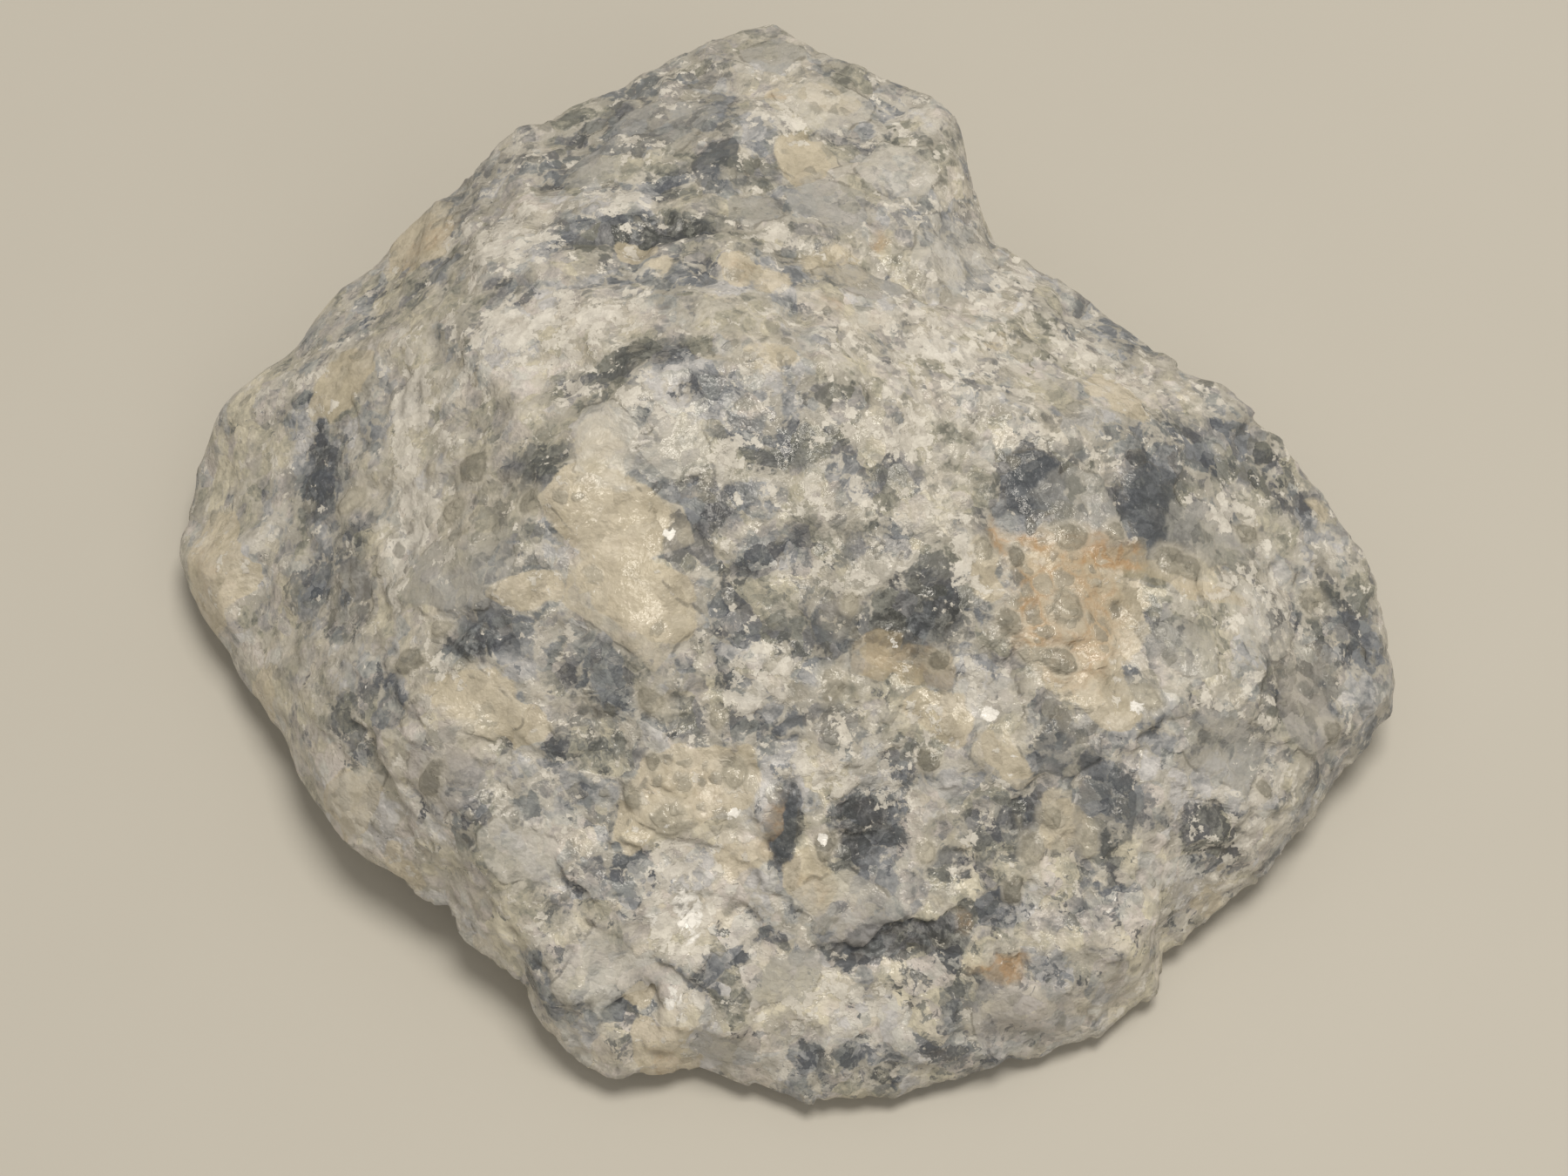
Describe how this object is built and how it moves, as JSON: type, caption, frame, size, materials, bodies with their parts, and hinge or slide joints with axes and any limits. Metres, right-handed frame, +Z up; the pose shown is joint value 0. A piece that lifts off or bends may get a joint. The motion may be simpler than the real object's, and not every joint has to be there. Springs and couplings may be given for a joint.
{
  "type": "calcite specimen",
  "caption": "Rough broken piece of blue-grey calcite, wider than high, with a sloping faceted top, thin undercut edges and a small flat spot that it rests on.",
  "frame": {"origin": "middle of the stone's bounding box in plan, on the table that it rests on", "axes": "+Z up from the table, +X along the stone's longest extent, +Y towards its blunt back lobe"},
  "size_m": [0.0618, 0.0552, 0.0215],
  "materials": {
    "calcite": "rough broken surface, blue-grey to white, cloudy and slightly translucent, with cleavage glints and orange-brown staining"
  },
  "bodies": {
    "root": {"calcite_stone": "calcite"}
  },
  "joints": []
}
